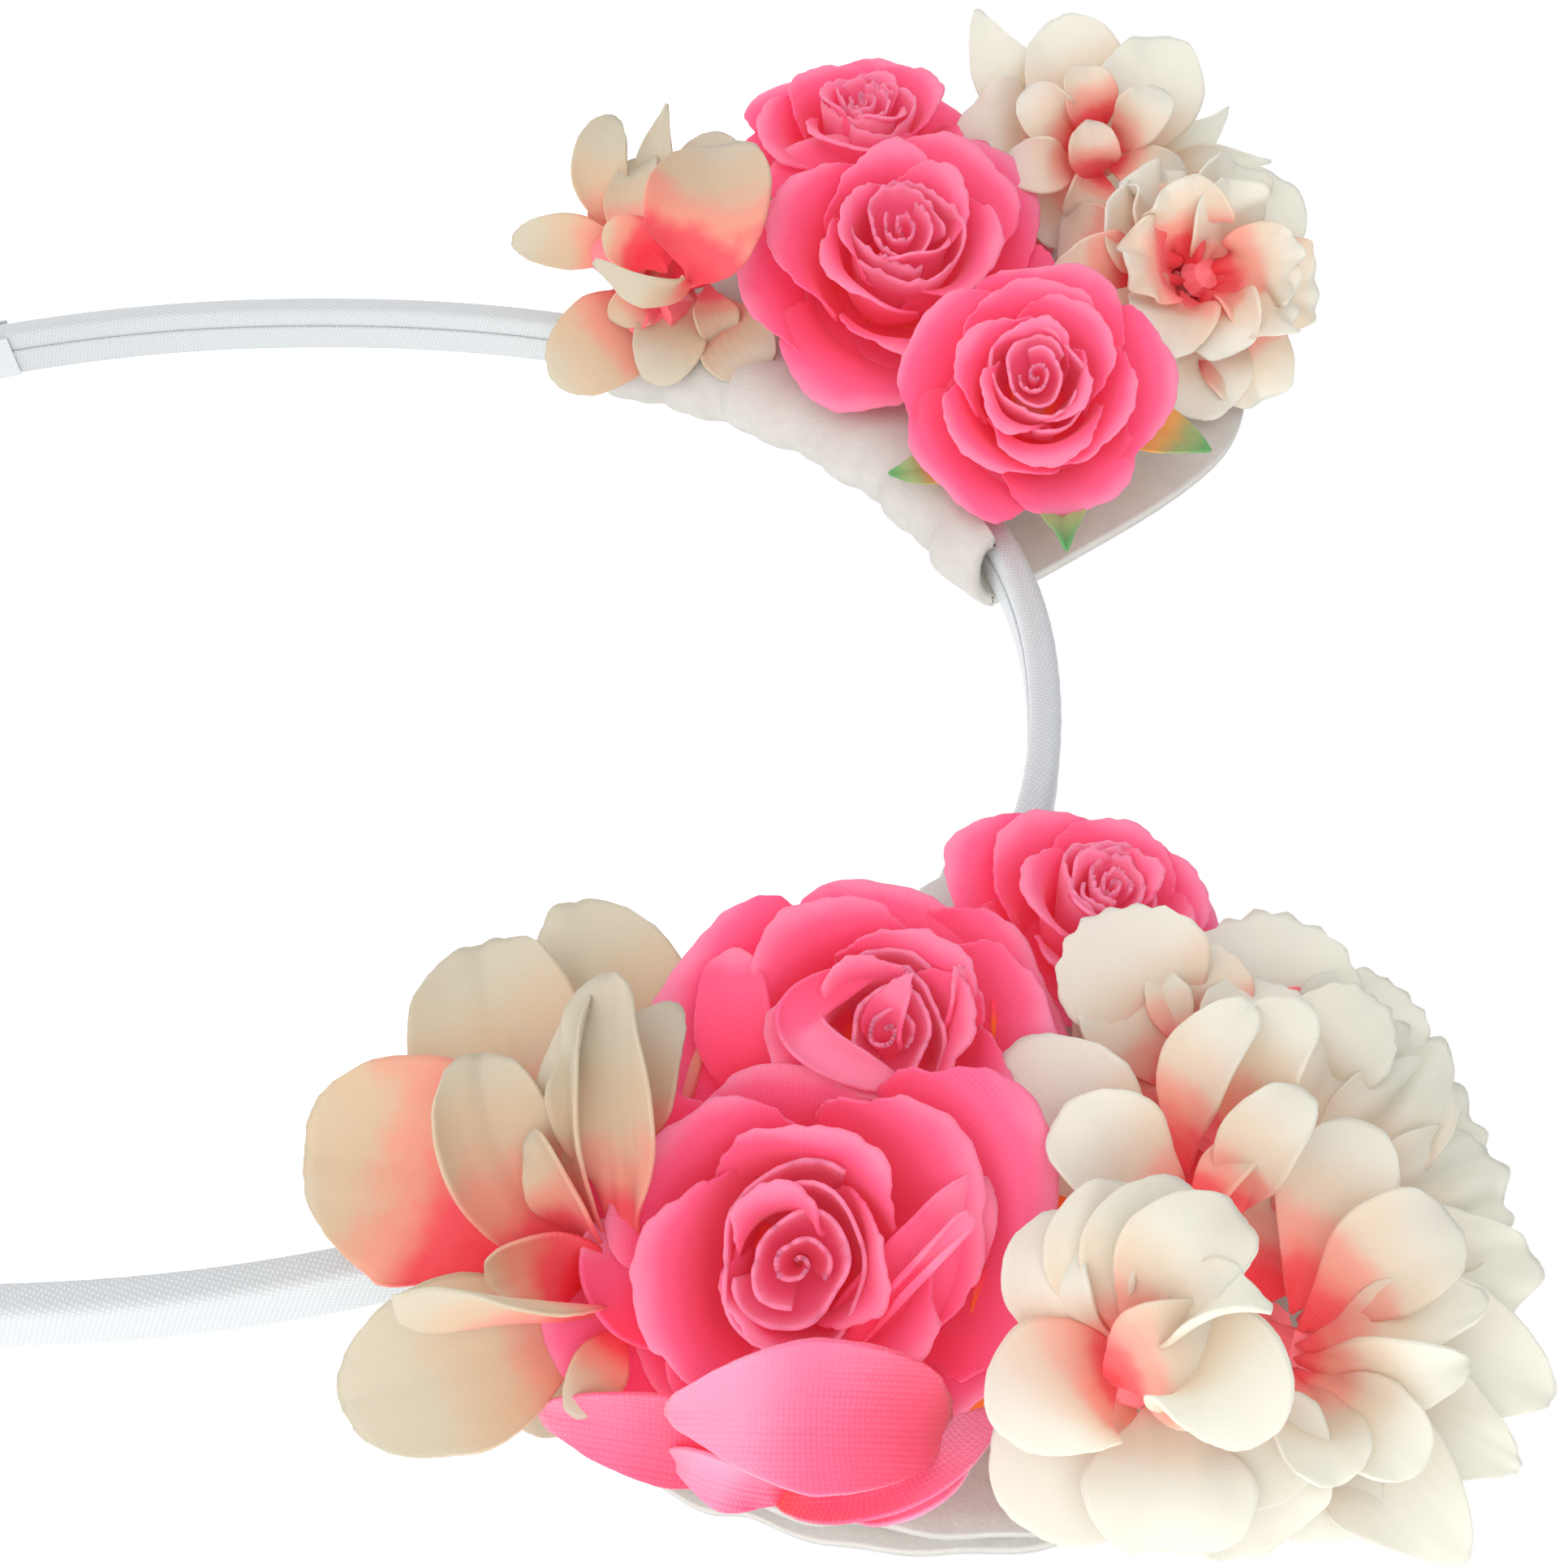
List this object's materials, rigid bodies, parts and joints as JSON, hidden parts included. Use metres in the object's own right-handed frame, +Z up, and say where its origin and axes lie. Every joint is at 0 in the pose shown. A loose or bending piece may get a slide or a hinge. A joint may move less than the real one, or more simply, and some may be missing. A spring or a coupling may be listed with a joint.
{
  "type": "flower ear headband",
  "caption": "Slim ribbon-covered headband with two rounded felt ears covered in pink fabric roses and cream fabric blossoms.",
  "frame": {"origin": "centre of the head opening, at the level where the band is widest", "axes": "+X across the head towards the wearer's left, +Y towards the back of the head, +Z up to the crown"},
  "size_m": [0.1872, 0.0344, 0.1736],
  "materials": {
    "core_plastic": "moulded, satin",
    "satin_ribbon": "woven polyester satin, soft sheen",
    "felt": "pressed felt, slightly fuzzy",
    "rose_cloth": "fine plain-weave cloth, stiffened, dyed pink",
    "blossom_cloth": "fine plain-weave cloth, stiffened, cream with a blushed throat",
    "stem_plastic": "moulded",
    "leaf_cloth": "plain-weave cloth, green with a yellow base"
  },
  "bodies": {
    "root": {"band_core": "core_plastic", "left_blossom_1_inner_petals": "blossom_cloth", "left_blossom_1_outer_petals": "blossom_cloth", "left_blossom_1_stem": "stem_plastic", "left_blossom_2_inner_petals": "blossom_cloth", "left_blossom_2_outer_petals": "blossom_cloth", "left_blossom_2_stem": "stem_plastic", "left_blossom_3_inner_petals": "blossom_cloth", "left_blossom_3_outer_petals": "blossom_cloth", "left_blossom_3_stem": "stem_plastic", "left_blossom_4_inner_petals": "blossom_cloth", "left_blossom_4_outer_petals": "blossom_cloth", "left_blossom_4_stem": "stem_plastic", "left_blossom_5_inner_petals": "blossom_cloth", "left_blossom_5_outer_petals": "blossom_cloth", "left_blossom_5_stem": "stem_plastic", "left_felt_ear": "felt", "left_rose_1_bud": "rose_cloth", "left_rose_1_inner_petals": "rose_cloth", "left_rose_1_outer_petals": "rose_cloth", "left_rose_1_stem": "stem_plastic", "left_rose_2_bud": "rose_cloth", "left_rose_2_inner_petals": "rose_cloth", "left_rose_2_outer_petals": "rose_cloth", "left_rose_2_stem": "stem_plastic", "left_rose_3_bud": "rose_cloth", "left_rose_3_inner_petals": "rose_cloth", "left_rose_3_outer_petals": "rose_cloth", "left_rose_3_stem": "stem_plastic", "left_tip_fold": "satin_ribbon", "ribbon_sleeve": "satin_ribbon", "right_blossom_1_inner_petals": "blossom_cloth", "right_blossom_1_outer_petals": "blossom_cloth", "right_blossom_1_stem": "stem_plastic", "right_blossom_2_inner_petals": "blossom_cloth", "right_blossom_2_outer_petals": "blossom_cloth", "right_blossom_2_stem": "stem_plastic", "right_blossom_3_inner_petals": "blossom_cloth", "right_blossom_3_outer_petals": "blossom_cloth", "right_blossom_3_stem": "stem_plastic", "right_blossom_4_inner_petals": "blossom_cloth", "right_blossom_4_outer_petals": "blossom_cloth", "right_blossom_4_stem": "stem_plastic", "right_felt_ear": "felt", "right_rose_1_bud": "rose_cloth", "right_rose_1_inner_petals": "rose_cloth", "right_rose_1_outer_petals": "rose_cloth", "right_rose_1_sepals": "leaf_cloth", "right_rose_1_stem": "stem_plastic", "right_rose_2_bud": "rose_cloth", "right_rose_2_inner_petals": "rose_cloth", "right_rose_2_outer_petals": "rose_cloth", "right_rose_2_stem": "stem_plastic", "right_rose_3_bud": "rose_cloth", "right_rose_3_inner_petals": "rose_cloth", "right_rose_3_outer_petals": "rose_cloth", "right_rose_3_stem": "stem_plastic", "right_tip_fold": "satin_ribbon"}
  },
  "joints": []
}
